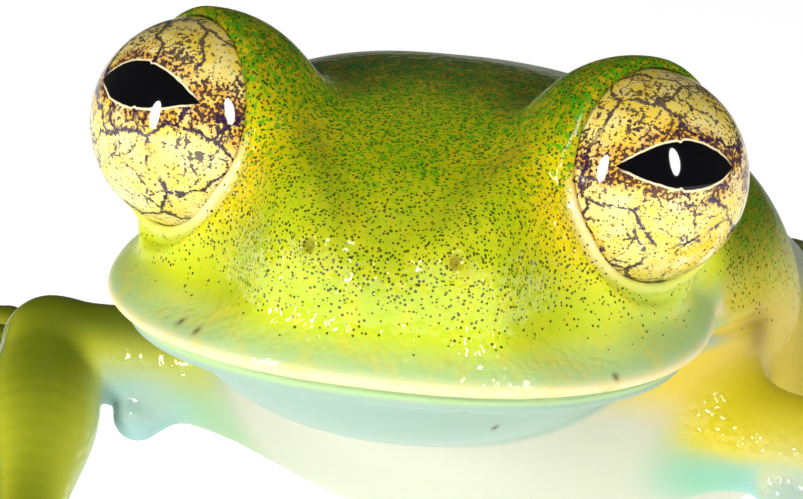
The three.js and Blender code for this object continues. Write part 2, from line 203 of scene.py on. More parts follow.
def head_field(x, y, z):
    f, l, u = head_coordinates(x, y, z)
    l = np.abs(l)
    tilted = u + MOUTH_SLOPE * (LIP_REACH - f)
    d = bulk(f, l, u, *SKULL)
    d = smooth_min(d, bulk(f, l, tilted, *UPPER_LIP), 1.1)
    d = smooth_min(d, bulk(f, l, u, *CHEEKS), 0.5)
    d = smooth_min(d, bulk(f, l, tilted, *JAW_EDGE), 0.2)
    d = smooth_min(d, bulk(f, l, u, *THROAT_BAG), 0.7)
    # The hollow between eye and lip, and the ridges from the eye to the nostril and the ear
    d = smooth_max(d, -ball(f, l, u, (2.9, 3.3, -0.75), 1.05), 0.9)
    d = smooth_min(d, rod(f, l, u, (1.2, 2.0, 0.25), (3.2, 1.0, -0.5), 0.3, 0.3), 0.6)
    d = smooth_min(d, rod(f, l, u, (-1.6, 3.9, -0.2), (-4.6, 3.7, -1.7), 0.3, 0.3), 0.6)
    d = smooth_min(d, ball(f, l, u, EAR, 0.5), 0.15)
    d = smooth_min(d, ball(f, l, u, EYE - 0.45 * LID_AXIS, LID_RADIUS - 0.4), 1.1)
    d = lids(d, f, l, u)
    d = smooth_min(d, ball(f, l, u, NOSTRIL, 0.26), 0.22)
    d = smooth_max(d, -ball(f, l, u, NOSTRIL + 0.28 * NOSTRIL_WAY, 0.11), 0.06)
    back = ramp(f, -2.9, -2.2)
    crease = 0.06 * near(above_mouth(f, u), 0.04) - 0.03 * near(above_mouth(f, u) - 0.16, 0.1)
    return d + crease * back


def smooth_curve(points, count):
    """Catmull-Rom through the points, its ends straight."""
    points = np.array(points, dtype=float)
    full = np.vstack([2 * points[0] - points[1], points, 2 * points[-1] - points[-2]])
    made = []
    for t in np.linspace(0, len(points) - 1, count):
        i = min(int(t), len(points) - 2)
        s = t - i
        a, b, c, d = full[i : i + 4]
        straight = (c - a) * s
        bend = (2 * a - 5 * b + 4 * c - d) * s**2
        twist = (3 * b - a - 3 * c + d) * s**3
        made.append(0.5 * (2 * b + straight + bend + twist))
    return np.array(made)


TRUNK_LINE = smooth_curve(TRUNK, 240)


def trunk_at(y):
    return [np.interp(y, TRUNK_LINE[:, 0], TRUNK_LINE[:, i]) for i in (1, 2, 3)]


def trunk_field(x, y, z):
    top, under, half = trunk_at(y)
    half = np.maximum(half, 0.03)
    rise = np.maximum((top - under) / 2, 0.03)
    up = z - (top + under) / 2
    n = TRUNK_POWER
    size = (np.abs(x / half) ** n + np.abs(up / rise) ** n) ** (1 / n)
    slope = np.sqrt((x / half**2) ** 2 + (up / rise**2) ** 2)
    d = size * (size - 1) / np.maximum(slope, 1e-4)
    return np.minimum(d, 3.0)


class Shape:
    """A field with the box it matters in and how softly it joins what came before."""

    def __init__(self, field, low, high, blend, cut=False):
        self.field = field
        self.low = np.array(low, dtype=float)
        self.high = np.array(high, dtype=float)
        self.blend = blend
        self.cut = cut

    def join(self, d, x, y, z):
        own = self.field(x, y, z)
        if self.cut:
            return smooth_max(d, own, self.blend)
        return smooth_min(d, own, self.blend)


def limb(points, radius, blend, count=16):
    line = smooth_curve(points, count)
    radii = [radius(i / (count - 1)) for i in range(count)]

    def field(x, y, z):
        d = None
        for i in range(count - 1):
            piece = rod(x, y, z, line[i], line[i + 1], radii[i], radii[i + 1])
            d = piece if d is None else smooth_min(d, piece, 0.06)
        return d

    reach = max(radii) + 0.6
    return Shape(field, line.min(0) - reach, line.max(0) + reach, blend)


def lump(centre, radii, blend):
    centre = np.array(centre, dtype=float)
    reach = np.array(radii) + 0.6
    return Shape(lambda x, y, z: pad(x, y, z, centre, radii), centre - reach, centre + reach, blend)


def swelling(start, end, bulge, where=0.4, width=0.28):
    return lambda s: start + (end - start) * s + bulge * math.exp(-(((s - where) / width) ** 2))


# Places in mm, the thickness of the upper arm at both ends, and the turns of the hand
# and the foot in degrees. The key is the frog's side: 1 for its left.
ARMS = {
    1: dict(
        shoulder=(2.7, -14.4, 4.1), elbow=(7.8, -14.6, 3.8), wrist=(8.2, -17.2, 0.85),
        palm=(7.9, -19.0, 0.45), thick=(0.9, 0.74), heading=0, toes=52,
    ),
    -1: dict(
        shoulder=(-2.9, -13.4, 3.3), elbow=(-7.3, -14.3, 3.5), wrist=(-6.4, -17.4, 0.85),
        palm=(-6.0, -19.2, 0.45), thick=(1.0, 0.76), heading=8, toes=70,
    ),
}
LEG = dict(
    hip=(1.7, 0.9, 2.2), knee=(7.2, -8.3, 2.7), heel=(4.9, 4.1, 1.15),
    ankle=(8.3, -1.9, 0.7), foot=(9.3, -3.7, 0.45),
)
JOINTS = {
    side: places | {name: (side * x, y, z) for name, (x, y, z) in LEG.items()}
    for side, places in ARMS.items()
}
# Radius at the near and far end, how much the middle swells, and where along the limb
THIGH = (1.45, 0.8, 0.2, 0.4)
SHANK = (0.8, 0.58, 0.38, 0.35)
TARSUS = (0.58, 0.48, 0.08, 0.3)
WRIST_RADIUS = 0.5
ANKLE_RADIUS = 0.46
SPINE_RADIUS = 0.42
# Turn of each digit in degrees and its length in mm, from the inner one outwards
HAND = dict(
    palm=0.95, thick=0.45, digits=[(-62, 2.6), (-24, 2.9), (12, 4.3), (50, 3.7)],
    webs=[0, 0, 2.1],
)
FOOT = dict(
    palm=0.8, thick=0.4, digits=[(-50, 2.7), (-28, 3.7), (-5, 5.2), (17, 6.9), (42, 5.6)],
    webs=[1.9, 2.5, 3.4, 3.8],
)


def digit(palm, way, length, plan):
    """A finger or toe that arches a little to its disc on the floor."""
    root = palm + way * plan["palm"] * 0.55
    tip = palm + way * length
    middle = (root + tip) / 2
    tip[2] = SOLE
    middle[2] = SOLE + 0.22
    thick = swelling(FINGER_RADIUS * 1.1, FINGER_RADIUS * 0.82, 0.05, 0.52, 0.12)
    return [
        limb([root, middle, tip], thick, 0.18, 8),
        lump(tip, (DISC_RADIUS, DISC_RADIUS, SOLE * 1.2), 0.12),
        lump(tip + way * 0.1 + np.array([0, 0, 0.2]), (0.3, 0.3, 0.16), 0.15),
    ]


def web(palm, way, next_way, reach):
    """Thin strands side by side from one digit to the next, shorter in the middle."""
    strands = 9
    start = np.array([palm[0], palm[1], SOLE + 0.05])
    made = []
    for s in range(strands):
        share = s / (strands - 1)
        sag = reach * (1 - 0.9 * share * (1 - share))
        end = palm + (way * (1 - share) + next_way * share) * sag
        end[2] = SOLE
        made.append(limb([start, end], lambda t: 0.14 - 0.03 * t, 0.16, 2))
    return made


def paw(palm, heading, side, plan):
    """The flat palm, its digits with their discs, and the webs between them."""
    palm = np.array(palm)
    shapes = [lump(palm, (plan["palm"], plan["palm"], plan["thick"]), 0.25)]
    ways = []
    for turn, length in plan["digits"]:
        angle = side * math.radians(heading + turn)
        way = np.array([math.sin(angle), -math.cos(angle), 0])
        ways.append(way)
        shapes += digit(palm, way, length, plan)
    for i, reach in enumerate(plan["webs"]):
        if reach > 0:
            shapes += web(palm, ways[i], ways[i + 1], reach)
    return shapes


def spine(side, j):
    """The root and tip of the blunt spine below an upper arm."""
    middle = (np.array(j["shoulder"]) + j["elbow"]) / 2
    root = middle + np.array([0, -0.2, -0.35])
    return root, root + np.array([side * 0.5, -0.45, -0.45])


def arm(side, j):
    shoulder, elbow = np.array(j["shoulder"]), np.array(j["elbow"])
    root_thick, elbow_thick = j["thick"]
    spine_root, spine_tip = spine(side, j)
    return [
        limb([shoulder, elbow], swelling(root_thick, elbow_thick, 0.05, 0.3), 0.9),
        limb([spine_root, spine_tip], lambda s: SPINE_RADIUS, 0.2, 4),
        limb([elbow, j["wrist"]], swelling(elbow_thick, 0.48, 0.28, 0.36), 0.2),
        limb([j["wrist"], j["palm"]], lambda s: WRIST_RADIUS, 0.25, 4),
        *paw(j["palm"], j["heading"], side, HAND),
    ]


def leg(side, j):
    return [
        limb([j["hip"], j["knee"]], swelling(*THIGH), 0.5),
        limb([j["knee"], j["heel"]], swelling(*SHANK), 0.1),
        limb([j["heel"], j["ankle"]], swelling(*TARSUS), 0.1),
        limb([j["ankle"], j["foot"]], lambda s: ANKLE_RADIUS, 0.2, 4),
        *paw(j["foot"], j["toes"], side, FOOT),
    ]


def all_shapes():
    shapes = [Shape(trunk_field, (-5.3, -18.8, -1.0), (5.3, 4.0, 9.6), 0.1)]
    paws = []
    for side, j in JOINTS.items():
        for pieces in (arm(side, j), leg(side, j)):
            shapes.append(pieces[0])
            paws += pieces[1:]
    shapes.append(Shape(head_field, (-6.4, -24.6, 3.2), (6.8, -11.4, 11.8), 0.55))
    floor = Shape(lambda x, y, z: -z + 0 * x, (-40, -40, -2), (40, 40, 0.3), 0.06, cut=True)
    return shapes + paws + [floor]


SHAPES = all_shapes()
FAR = 1.0


def field_at(points):
    """The whole skin's field at some points."""
    d = np.full(len(points), FAR)
    for shape in SHAPES:
        inside = np.all((points > shape.low) & (points < shape.high), axis=1)
        if inside.any():
            x, y, z = points[inside].T
            d[inside] = shape.join(d[inside], x, y, z)
    return d


# The skin's mesh: one vertex in each grid cell that the surface crosses

def steps(low, high, fine_low, fine_high, fine, coarse):
    """Grid lines that lie closer together between fine_low and fine_high."""
    lines = [low]
    while lines[-1] < high:
        at = lines[-1]
        away = max(fine_low - at, at - fine_high, 0)
        lines.append(at + min(coarse, fine + 0.12 * away))
    return np.array(lines)


def grid_field(xs, ys, zs):
    d = np.full((len(xs), len(ys), len(zs)), FAR, dtype=np.float32)
    for shape in SHAPES:
        spans = []
        for lines, low, high in zip((xs, ys, zs), shape.low, shape.high):
            first, last = np.searchsorted(lines, (low, high))
            spans.append(slice(first, last))
        i, j, k = spans
        x = xs[i][:, None, None]
        y = ys[j][None, :, None]
        z = zs[k][None, None, :]
        d[i, j, k] = shape.join(d[i, j, k], x, y, z)
    return d


CORNERS = [(i, j, k) for i in (0, 1) for j in (0, 1) for k in (0, 1)]


def cell_points(lines, d, cell):
    """For each cell, the middle of the places where the surface crosses its edges."""
    total = np.zeros((len(cell), 3))
    hits = np.zeros(len(cell))
    for a in CORNERS:
        for axis in range(3):
            if a[axis]:
                continue
            b = tuple(v + (n == axis) for n, v in enumerate(a))
            at_a = cell + a
            at_b = cell + b
            da = d[tuple(at_a.T)].astype(float)
            db = d[tuple(at_b.T)].astype(float)
            cross = (da < 0) != (db < 0)
            share = np.where(cross, da / np.where(cross, da - db, 1), 0)
            for n in range(3):
                pa = lines[n][at_a[:, n]]
                pb = lines[n][at_b[:, n]]
                total[:, n] += np.where(cross, pa + share * (pb - pa), 0)
            hits += cross
    return total / hits[:, None]


def edge_quads(inside, index, axis):
    """A quad, facing outwards, round each grid edge along an axis that the surface crosses."""
    low = [slice(1, -1)] * 3
    high = [slice(1, -1)] * 3
    low[axis] = slice(0, -1)
    high[axis] = slice(1, None)
    edge = np.argwhere(inside[tuple(low)] != inside[tuple(high)])
    offset = np.ones(3, dtype=int)
    offset[axis] = 0
    edge = edge + offset
    u, v = [n for n in range(3) if n != axis]
    ring = []
    for du, dv in ((-1, -1), (0, -1), (0, 0), (-1, 0)):
        at = edge.copy()
        at[:, u] += du
        at[:, v] += dv
        ring.append(index[tuple(at.T)])
    ring = np.stack(ring, axis=1)
    outward = inside[tuple(edge.T)]
    if axis == 1:
        outward = ~outward
    ring[~outward] = ring[~outward][:, ::-1]
    return ring


def surface(xs, ys, zs, d):
    """Vertices and quads of the zero surface, by naive surface nets."""
    inside = d < 0
    cells = tuple(n - 1 for n in d.shape)
    count = 0
    for i, j, k in CORNERS:
        corner = inside[i : i + cells[0], j : j + cells[1], k : k + cells[2]]
        count = count + corner.astype(np.int8)
    cell = np.argwhere((count > 0) & (count < 8))
    index = np.full(cells, -1, dtype=np.int32)
    index[tuple(cell.T)] = np.arange(len(cell))
    quads = [edge_quads(inside, index, axis) for axis in range(3)]
    return cell_points((xs, ys, zs), d, cell), np.vstack(quads)


def slope_at(points, h):
    """The field at some points, its direction of growth and its slope, over a step h."""
    d = field_at(points)
    slope = np.stack([field_at(points + h * np.eye(3)[n]) - d for n in range(3)], axis=1) / h
    size = np.linalg.norm(slope, axis=1)
    return d, slope / np.maximum(size, 1e-6)[:, None], size


def settle(points, rounds=2):
    """Moves points onto the field's zero surface."""
    for _ in range(rounds):
        d, normal, size = slope_at(points, 0.008)
        step = np.clip(d / np.maximum(size, 0.3), -0.05, 0.05)
        points = points - normal * step[:, None]
    return points


def mesh_object(name, vertices, faces):
    mesh = bpy.data.meshes.new(name)
    mesh.vertices.add(len(vertices))
    mesh.vertices.foreach_set("co", (np.asarray(vertices) * MM).astype(np.float32).ravel())
    sides = faces.shape[1]
    mesh.loops.add(faces.size)
    mesh.loops.foreach_set("vertex_index", faces.astype(np.int32).ravel())
    mesh.polygons.add(len(faces))
    mesh.polygons.foreach_set("loop_start", np.arange(0, faces.size, sides, dtype=np.int32))
    mesh.update(calc_edges=True)
    mesh.validate()
    mesh.polygons.foreach_set("use_smooth", np.ones(len(mesh.polygons), dtype=bool))
    made = bpy.data.objects.new(name, mesh)
    bpy.context.scene.collection.objects.link(made)
    return made


def colour_layer(made, name, colours):
    layer = made.data.color_attributes.new(name, "FLOAT_COLOR", "POINT")
    rgba = np.ones((len(colours), 4), dtype=np.float32)
    rgba[:, : colours.shape[1]] = colours
    layer.data.foreach_set("color", rgba.ravel())


def linear(r, g, b):
    """A colour as seen on a screen, 0 to 255, as linear light."""
    c = np.array([r, g, b]) / 255
    return np.where(c <= 0.04045, c / 12.92, ((c + 0.055) / 1.055) ** 2.4)


# Colours
CROWN_GREEN_AND_SHADE = linear(146, 176, 0)
DARK_GREEN_AND_SHADE = linear(48, 86, 6)
FACE = linear(220, 230, 38)
SNOUT = linear(148, 160, 8)
LOREAL_SHADE = linear(148, 170, 0)
CHEEK = linear(176, 200, 44)
GOLD = linear(246, 210, 10)
MINT = linear(164, 198, 148)
CREAM = linear(242, 222, 178)
JAW = linear(176, 204, 150)
THROAT = linear(156, 182, 168)
BELLY = linear(198, 200, 182)
PALE = linear(176, 194, 140)
FLANK = linear(230, 204, 84)
OLIVE = linear(84, 104, 6)
LIME = linear(196, 198, 44)
LIT_ARM_YELLOW = linear(226, 206, 36)
TEAL = linear(112, 192, 176)
SPINE = linear(164, 204, 220)
RIM = linear(240, 234, 172)
PINK = linear(206, 132, 110)
BROWN = linear(120, 78, 22)
FLECK = linear(74, 50, 38)

# Brown flecks on the lips and throat: turn from straight ahead in degrees, height over
# the mouth's line, width
FLECKS = [
    (-72, 0.75, 0.045), (-64, 1.15, 0.04), (-38, 0.42, 0.045), (-33, 0.4, 0.05),
    (44, 0.3, 0.05), (42, 0.05, 0.04), (20, -0.5, 0.05), (30, -0.95, 0.06),
]
MM_PER_DEGREE = 0.085


def distance_to(points, place):
    return np.sqrt(((points - place) ** 2).sum(1))


def trunk_colours(points, level):
    """Pale belly, beige flank and olive back; level runs from -1 at the underside to 1."""
    x, y, z = points.T
    colour = mix(np.tile(BELLY, (len(x), 1)), FLANK, ramp(level, -0.55, -0.2))
    colour = mix(colour, LIME, ramp(level, 0.1, 0.35) * 0.6)
    colour = mix(colour, OLIVE, ramp(level, 0.25, 0.6))
    # A dark brown patch on the frog's left flank, above the shoulder
    dark_patch = near(y + 13.9, 0.45) * near(z - 5.6, 0.4) * ramp(x, 3.0, 3.6)
    return mix(colour, BROWN, dark_patch * 0.6)


def limb_colours(points, normals, front):
    """Olive on top, pale below and bluish green under both arms, with the frog's left arm painted
    yellow as a lit copy of the limbs' green and the right arm's olive kept strong as painted shade.
    """
    x, z = points[:, 0], points[:, 2]
    side_on, upward = normals[:, 0] * np.sign(x), normals[:, 2]
    limbs = mix(np.tile(PALE, (len(x), 1)), LIME, ramp(upward, -0.4, 0.4))
    outer = np.maximum(upward, 0.9 * side_on)
    # Painted light: the frog's left arm gets a lit yellow copy of the limbs' green
    yellow = front * ramp(x, 0, 3)
    limbs = mix(limbs, LIT_ARM_YELLOW, yellow * ramp(upward, -0.4, 0.1))
    # Olive on the outer side: the limbs' own green, kept strong on the right arm as painted shade
    limbs = mix(limbs, OLIVE, ramp(outer, 0.2, 0.9) * (0.85 - 0.8 * yellow))
    teal = ramp(-upward - 0.3 * normals[:, 1], 0.35, 0.85) * front * ramp(z, 1.6, 2.4)
    limbs = mix(limbs, TEAL, teal * (0.3 + 0.35 * yellow))
    for side, j in JOINTS.items():
        tip = spine(side, j)[1]
        limbs = mix(limbs, SPINE, near(distance_to(points, tip), 0.75))
    return limbs


def limb_share_at(points):
    """1 on the limbs and 0 on the trunk and head."""
    x, y, z = points.T
    share = ramp(trunk_field(x, y, z), 0.1, 0.45)
    for j in JOINTS.values():
        from_arm = rod(x, y, z, j["shoulder"], j["elbow"], *j["thick"])
        share = np.maximum(share, 1 - ramp(from_arm, 0.1, 0.6))
    return share


def eye_distance(f, l, u):
    return np.sqrt(f**2 + (l - EYE_SPREAD) ** 2 + u**2)


def upper_colours(f, l, u, h, from_eye):
    """The face with painted shade in the loreal hollows, darker towards the crown, the nape and the
    tops of the eye domes, partly their own darker green and partly painted shade, and gold beside the
    eyes.
    """
    places = np.stack([f, l, u], axis=1)
    head = np.tile(FACE, (len(f), 1))
    # Painted shade: darker green in the hollow between eye and nostril
    head = mix(head, LOREAL_SHADE, near(distance_to(places, (2.6, 2.4, -0.8)), 1.1) * 0.95)
    head = mix(head, CHEEK, near(distance_to(places, (1.0, 4.0, -2.0)), 1.3) * 0.5)
    # Darker on top of the head: partly the crown's own green, partly painted shade
    head = mix(head, CROWN_GREEN_AND_SHADE, ramp(u, -1.1, 0.0) * ramp(-f, -4.1, -1.6))
    head = mix(head, SNOUT, near(np.hypot(f - 3.9, l), 1.3) * ramp(h, 0.7, 1.6))
    # Dark towards the nape and on top of the eye domes: partly the skin's own dark green, partly
    # painted shade
    head = mix(head, DARK_GREEN_AND_SHADE, ramp(-f, -0.2, 2.6) * ramp(u, -0.7, 0.3))
    head = mix(head, DARK_GREEN_AND_SHADE, dome_share(from_eye) * ramp(u, 0.3, 1.5) * 0.8)
    gold = near(from_eye - 2.0, 0.8) * ramp(f, 0.2, 1.2) * near(u + 0.2, 0.9)
    return mix(head, GOLD, gold * 0.9)


def mouth_colours(head, f, left, h):
    """Mint above the mouth, a cream stripe along the lip, and the jaw and throat below."""
    head = mix(head, CHEEK, near(h - 1.1, 0.7) * near(left, 2.2) * ramp(f, 0.5, 2.5) * 0.8)
    head = mix(head, MINT, (1 - ramp(h, 0.28, 0.85)) * 0.85)
    left_cheek = ramp(left, 2.4, 4.2) * ramp(f, -2.6, -1.2)
    head = mix(head, MINT, (1 - ramp(h, 0.7, 1.6)) * left_cheek * 0.3)
    head = mix(head, CREAM, near(h - 0.17, 0.11) * 0.9)
    head = mix(head, JAW, 1 - ramp(h, -0.02, 0.05))
    return mix(head, THROAT, 1 - ramp(h, -0.2, -0.1))


def small_marks(head, f, left, u, h, from_eye):
    """A pink corner on each eye, brown nostrils, and the flecks."""
    corner = near(from_eye - EYE_RADIUS - 0.03, 0.06) * near(u + 0.1, 0.45) * ramp(f, 0.3, 0.9)
    head = mix(head, PINK, corner * 0.6)
    from_hole = distance_to(np.stack([f, np.abs(left), u], axis=1), NOSTRIL + 0.2 * NOSTRIL_WAY)
    head = mix(head, BROWN, near(from_hole, 0.17) * 0.6)
    turn = np.degrees(np.arctan2(left, f + 1.1))
    for fleck_turn, height, width in FLECKS:
        away = np.hypot((turn - fleck_turn) * MM_PER_DEGREE, h - height)
        head = mix(head, FLECK, near(away, width))
    return head


def dome_share(from_eye):
    """How near a place is to the skin of an eye's dome."""
    return 1 - ramp(from_eye, 2.0, 2.7)


def rim_share(from_eye, u):
    """1 on the pale edge of a lower lid."""
    return (1 - ramp(from_eye, EYE_RADIUS + 0.14, EYE_RADIUS + 0.26)) * ramp(-u, -0.45, 0.15)


def head_colours(f, left, u, h):
    l = np.abs(left)
    from_eye = eye_distance(f, l, u)
    head = upper_colours(f, l, u, h, from_eye)
    head = mouth_colours(head, f, left, h)
    head = mix(head, RIM, rim_share(from_eye, u) * (0.9 - 0.6 * ramp(-u, 0.9, 1.5)))
    return small_marks(head, f, left, u, h, from_eye)


def wet_places(f, u, h, from_eye):
    """1 beside the eyes and on the snout, where the film of water lies in drops."""
    corner = near(from_eye - 2.1, 0.4) * ramp(f, 0.2, 1.0) * near(u + 0.3, 0.8)
    snout = ramp(f, 1.8, 2.8) * ramp(h, 0.2, 0.5) * (1 - ramp(u, -0.9, -0.3))
    return np.maximum(corner, snout)


def skin_colours(points, normals):
    """Base colour, then how thick the dark dots and grains are, how wet, and how much face."""
    x, y, z = points.T
    f, left, u = head_coordinates(x, y, z)
    h = above_mouth(f, u)
    top, under = trunk_at(y)[:2]
    level = (z - (top + under) / 2) / np.maximum((top - under) / 2, 0.2)
    front = ramp(-y, 12.0, 12.8)
    limb_share = limb_share_at(points)
    head_share = 1 - ramp(head_field(x, y, z), 0.08, 0.25 + 0.35 * ramp(h, 0.3, 1.2))
    head_share *= 1 - (1 - ramp(h, 0.5, 1.5)) * (1 - ramp(f, -3.4, -2.6))
    colour = mix(trunk_colours(points, level), limb_colours(points, normals, front), limb_share)
    colour = mix(colour, head_colours(f, left, u, h), head_share)
    from_eye = eye_distance(f, np.abs(left), u)
    bare = head_share * (1 - rim_share(from_eye, u))
    dots = bare * ramp(h, 0.4, 1.2) * (0.3 + 0.7 * ramp(u, -1.9, -0.8))
    body_dots = (1 - head_share) * ramp(level, 0.1, 0.5) * (1 - 0.6 * limb_share)
    grains = bare * ramp(u, -1.1, 0.0) * ramp(-f, -3.9, -1.0) + 0.5 * body_dots
    grains = np.maximum(grains, dome_share(from_eye) * ramp(u, -0.2, 0.6) * bare)
    arms = front * limb_share * (1 - head_share) * near(normals[:, 2] - 0.2, 0.35)
    wet = np.maximum(wet_places(f, u, h, from_eye) * head_share, arms * (0.5 + 0.5 * ramp(x, 0, 3)))
    face = head_share * ramp(h, -0.05, 0.1)
    return colour, np.stack([np.maximum(dots, body_dots * 0.8), grains, wet, face], axis=1)


# Shader tools

class Nodes:
    """A short way to write a material's nodes."""

    def __init__(self, name):
        self.material = bpy.data.materials.new(name)
        self.material.use_nodes = True
        self.tree = self.material.node_tree
        self.shader = self.tree.nodes["Principled BSDF"]

    def add(self, kind, **settings):
        node = self.tree.nodes.new(kind)
        for key, value in settings.items():
            setattr(node, key, value)
        return node

    def link(self, source, target):
        if isinstance(source, (int, float)):
            target.default_value = source
        elif isinstance(source, (tuple, list, np.ndarray)):
            size = len(target.default_value)
            target.default_value = [*source, 1.0][:size]
        else:
            self.tree.links.new(source, target)

    def math(self, operation, a, b=0.0, c=0.0):
        node = self.add("ShaderNodeMath", operation=operation)
        for value, socket in zip((a, b, c), node.inputs):
            self.link(value, socket)
        return node.outputs[0]

    def step(self, value, low, high):
        """0 below low and 1 above high, smooth between; turned round where low is higher."""
        node = self.add("ShaderNodeMapRange", interpolation_type="SMOOTHSTEP")
        flip = low > high
        self.link(value, node.inputs["Value"])
        node.inputs["From Min"].default_value = min(low, high)
        node.inputs["From Max"].default_value = max(low, high)
        node.inputs["To Min"].default_value = 1.0 if flip else 0.0
        node.inputs["To Max"].default_value = 0.0 if flip else 1.0
        return node.outputs["Result"]

    def blend(self, share, a, b):
        """Colour a, covered by colour b as far as share says."""
        node = self.add("ShaderNodeMix", data_type="RGBA")
        self.link(share, node.inputs[0])
        self.link(a, node.inputs[6])
        self.link(b, node.inputs[7])
        return node.outputs[2]

    def attribute(self, name):
        return self.add("ShaderNodeAttribute", attribute_name=name)

    def place(self):
        return self.add("ShaderNodeTexCoord").outputs["Object"]

    def noise(self, place, per_mm, detail=2.0, roughness=0.5):
        node = self.add("ShaderNodeTexNoise")
        self.link(place, node.inputs["Vector"])
        node.inputs["Scale"].default_value = per_mm / MM
        node.inputs["Detail"].default_value = detail
        node.inputs["Roughness"].default_value = roughness
        return node.outputs["Fac"]

    def voronoi(self, place, per_mm, feature="F1", randomness=1.0):
        node = self.add("ShaderNodeTexVoronoi", feature=feature)
        self.link(place, node.inputs["Vector"])
        node.inputs["Scale"].default_value = per_mm / MM
        node.inputs["Randomness"].default_value = randomness
        return node

    def parts(self, vector):
        node = self.add("ShaderNodeSeparateXYZ")
        self.link(vector, node.inputs[0])
        return node.outputs

    def bump(self, height, depth_mm):
        node = self.add("ShaderNodeBump")
        node.inputs["Distance"].default_value = depth_mm * MM
        self.link(height, node.inputs["Height"])
        return node.outputs["Normal"]

    def cover(self, share, strength, colour, ink):
        """Lays an ink over a colour, as far as a share times a strength says."""
        return self.blend(self.math("MULTIPLY", share, strength), colour, ink)

    def set(self, **values):
        """Values that are the same all over, on the shader's own sockets."""
        for key, value in values.items():
            self.shader.inputs[key.replace("_", " ")].default_value = value


def dots_of(n, place, per_mm, size, density):
    """Round dots; size is in cells, and density is the share of cells that carry one."""
    cells = n.voronoi(place, per_mm, randomness=0.85)
    chance = n.parts(cells.outputs["Color"])
    present = n.math("LESS_THAN", chance[0], density)
    radius = n.math("MULTIPLY_ADD", chance[1], size * 0.5, size * 0.6)
    edge = n.math("SUBTRACT", cells.outputs["Distance"], radius)
    return n.math("MULTIPLY", n.step(edge, 0.08, -0.08), present)


# How many marks there are to a millimetre, and how deep the skin's relief is in mm
CLOUDS, GRAINS, DOTS, BUMPS, DROPS = 2.6, 11.0, 15.5, 6.5, 6.5
DOT_SIZE = 0.38
BUMP_DEPTH = 0.02
DROP_DEPTH = 0.085
CLOUD_INK = linear(236, 208, 30)
AMBER_INK = linear(206, 164, 2)
GREEN_INK = linear(52, 150, 12)
DOT_INK = linear(34, 52, 12)


def skin_tint(n, place, dots, grains, face):
    """Yellow clouds on the face, amber and green grains on the crown, and dark dots."""
    colour = n.attribute("tint").outputs["Color"]
    cloud = n.step(n.noise(place, CLOUDS, 4.0, 0.65), 0.42, 0.7)
    colour = n.cover(cloud, n.math("MULTIPLY", face, 0.3), colour, CLOUD_INK)
    grain = n.noise(place, GRAINS, 3.0, 0.65)
    colour = n.cover(n.step(grain, 0.5, 0.6), n.math("MULTIPLY", grains, 0.5), colour, AMBER_INK)
    colour = n.cover(n.step(grain, 0.5, 0.4), n.math("MULTIPLY", grains, 0.85), colour, GREEN_INK)
    return n.cover(dots_of(n, place, DOTS, DOT_SIZE, dots), 0.9, colour, DOT_INK)


def skin_material():
    n = Nodes("skin")
    place = n.place()
    layer = n.attribute("marks")
    dots, grains, wet = n.parts(layer.outputs["Color"])
    n.link(skin_tint(n, place, dots, grains, layer.outputs["Alpha"]), n.shader.inputs["Base Color"])
    # Low grains in the skin, and over them a film of water that stands in drops
    rough = n.math("MULTIPLY_ADD", wet, 0.85, 0.15)
    cells = n.voronoi(place, BUMPS).outputs["Distance"]
    height = n.math("MULTIPLY_ADD", cells, -1.0, n.noise(place, 4.0, 3.0))
    n.link(n.bump(n.math("MULTIPLY", height, rough), BUMP_DEPTH), n.shader.inputs["Normal"])
    away = n.voronoi(place, DROPS, "SMOOTH_F1").outputs["Distance"]
    drops = n.math("MULTIPLY", n.math("MULTIPLY", away, away), -1.0)
    film = n.math("MULTIPLY_ADD", n.noise(place, 2.0, 2.0, 0.5), 0.4, drops)
    n.link(n.bump(n.math("MULTIPLY", film, rough), DROP_DEPTH), n.shader.inputs["Coat Normal"])
    n.link(n.math("MULTIPLY_ADD", wet, 0.8, 0.2), n.shader.inputs["Coat Weight"])
    n.set(
        Roughness=0.5, Specular_IOR_Level=0.05, Subsurface_Weight=0.15, Subsurface_Scale=0.0003,
        Subsurface_Radius=(1.0, 1.0, 0.4), Coat_Roughness=0.03, Coat_IOR=1.5,
    )
    return n.material


# The eyes

# How far each pupil looks out from straight ahead and up, and its tilt, in degrees
GAZE = {1: (26.7, 23.3, -2.4), -1: (29.9, 32.7, -2.5)}
PUPIL_HALF = 0.94
PUPIL_RISE = 0.36
CORNEA_RISE = 0.012
CORNEA_WIDTH = 0.55


def eye_axes(side):
    """Outwards along the pupil, across it and out of it, in the row frame."""
    turn, rise, tilt = [math.radians(angle) for angle in GAZE[side]]
    flat = math.cos(rise)
    out = np.array([flat * math.cos(turn), side * flat * math.sin(turn), math.sin(rise)])
    along = np.cross([0, 0, side], out)
    along /= np.linalg.norm(along)
    up = side * np.cross(out, along)
    c, s = math.cos(tilt), math.sin(tilt)
    along, up = along * c + up * s, up * c - along * s
    return [HEAD @ v for v in (along, up, out)]


def globe_mesh(rows, around):
    """Points on a unit ball, its poles last, and its faces."""
    rise = np.linspace(-math.pi / 2, math.pi / 2, rows + 1)[1:-1]
    turn = np.linspace(0, 2 * math.pi, around, endpoint=False)
    a, b = np.meshgrid(rise, turn, indexing="ij")
    rings = np.stack([np.cos(a) * np.cos(b), np.cos(a) * np.sin(b), np.sin(a)], axis=-1)
    points = np.vstack([rings.reshape(-1, 3), [[0, 0, -1], [0, 0, 1]]])
    r, c = np.meshgrid(np.arange(rows - 2), np.arange(around), indexing="ij")
    n = (c + 1) % around
    low, high = r * around, (r + 1) * around
    quads = np.stack([low + c, low + n, high + n, high + c], axis=-1).reshape(-1, 4)
    first = np.arange(around)
    after = (first + 1) % around
    south = (rows - 1) * around
    last_ring = (rows - 2) * around
    low_fan = np.stack([after, first, np.full(around, south)], axis=1)
    high_fan = np.stack([last_ring + first, last_ring + after, np.full(around, south + 1)], axis=1)
    return points, [tuple(face) for part in (quads, low_fan, high_fan) for face in part]


